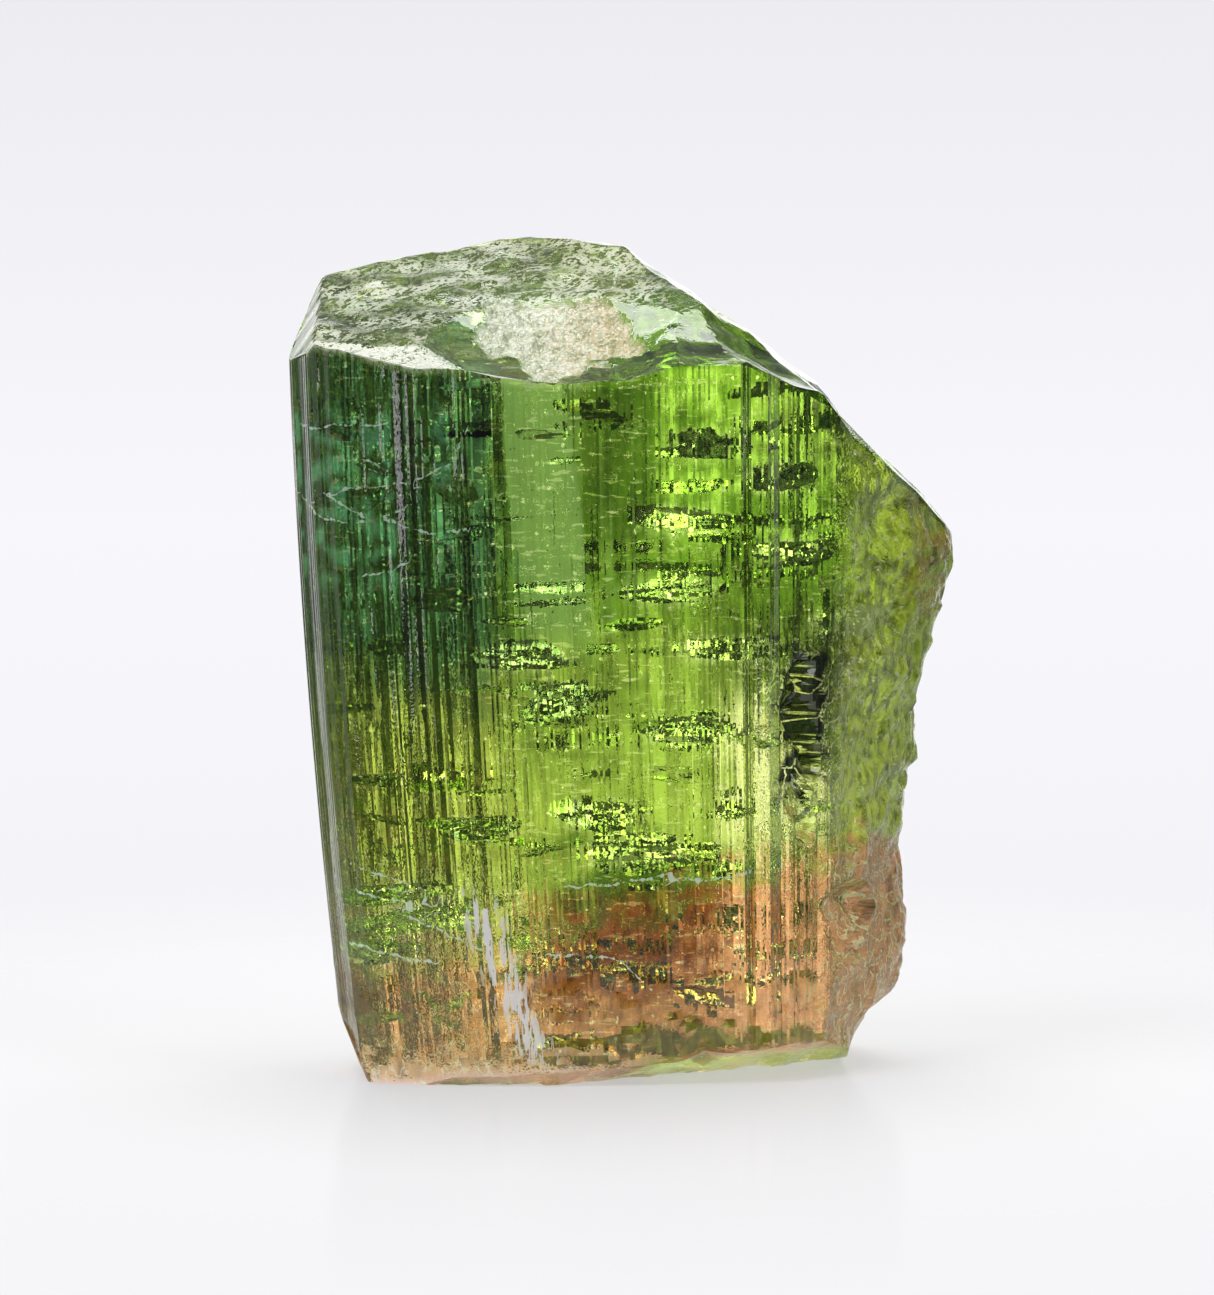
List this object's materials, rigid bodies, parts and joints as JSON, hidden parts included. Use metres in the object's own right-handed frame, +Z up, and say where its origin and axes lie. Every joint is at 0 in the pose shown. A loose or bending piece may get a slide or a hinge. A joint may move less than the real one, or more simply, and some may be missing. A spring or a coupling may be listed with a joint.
{
  "type": "tourmaline crystal",
  "caption": "Upright striated prismatic crystal with an etched sloping end, a broken shoulder and right side, green above and pink-brown at its flat broken base.",
  "frame": {"origin": "on the flat of the broken base, near its middle", "axes": "+Z up along the crystal's length, the broad striated face looks along -Y, the broken side is towards +X"},
  "size_m": [0.0235, 0.0131, 0.0291],
  "materials": {
    "tourmaline": "clear natural crystal with a glassy lustre, striated lengthwise and cracked inside, green with a pink-brown base"
  },
  "bodies": {
    "root": {"tourmaline_crystal": "tourmaline"}
  },
  "joints": []
}
